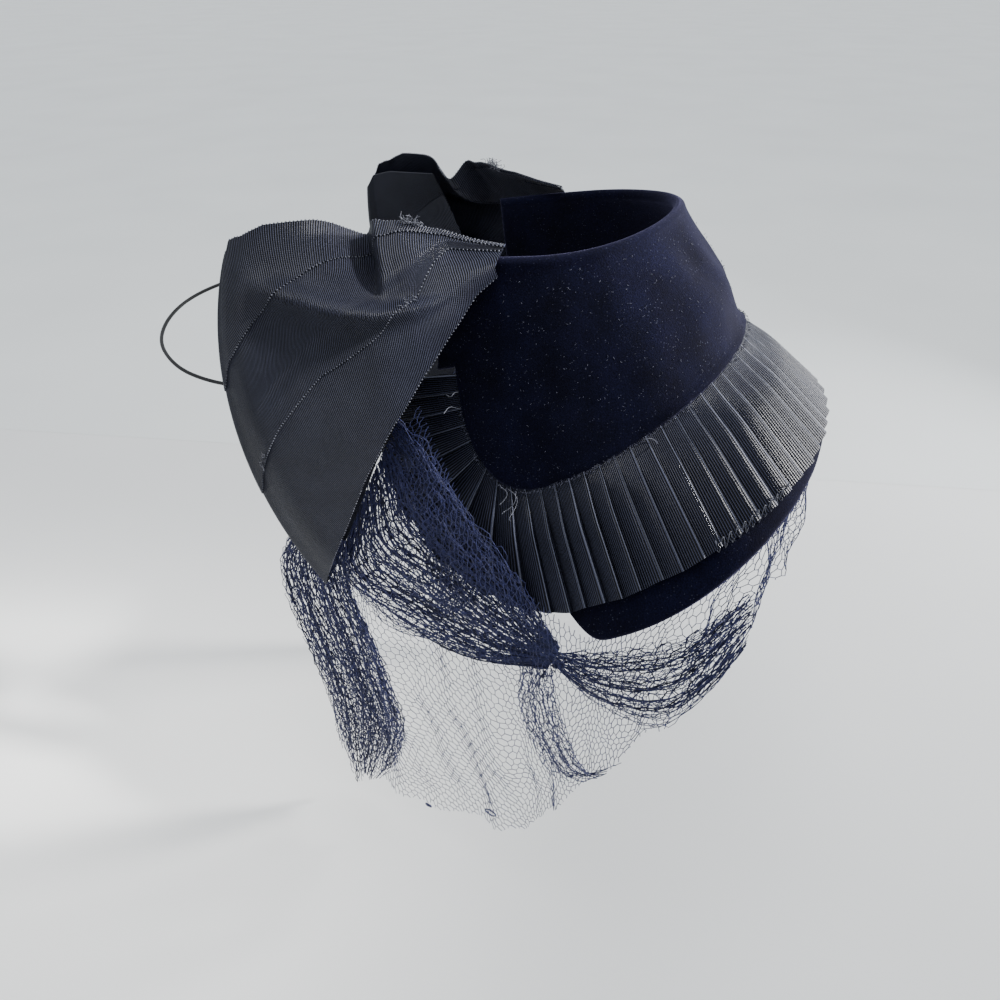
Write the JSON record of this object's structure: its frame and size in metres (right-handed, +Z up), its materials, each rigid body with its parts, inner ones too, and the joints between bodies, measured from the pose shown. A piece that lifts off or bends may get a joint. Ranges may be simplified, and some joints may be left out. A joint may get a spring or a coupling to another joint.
{
  "type": "open-crown veiled hat",
  "caption": "Velvet half hat with an open crown, a pleated ribbon brim, a ribbon bow at each side, a net face veil and a back elastic.",
  "frame": {"origin": "middle of the crown's base ring, the place where the hat sits on a head", "axes": "+Z up as worn, -Y towards the front of the wearer, +X towards the wearer's left"},
  "size_m": [0.2482, 0.3738, 0.3896],
  "materials": {
    "velvet": "midnight blue cotton velvet with a soft pile sheen",
    "grosgrain": "dark navy grosgrain ribbon, fine cross ribs, low sheen",
    "net": "navy hexagonal veiling net",
    "elastic_cord": "black round elastic cord"
  },
  "bodies": {
    "root": {"crown_band": "velvet", "brim": "velvet", "pleated_ruffle": "grosgrain", "bow_right_row_1": "grosgrain", "bow_right_row_2": "grosgrain", "bow_right_row_3": "grosgrain", "bow_left_row_1": "grosgrain", "bow_left_row_2": "grosgrain", "bow_left_row_3": "grosgrain", "veil": "net", "elastic": "elastic_cord"}
  },
  "joints": []
}
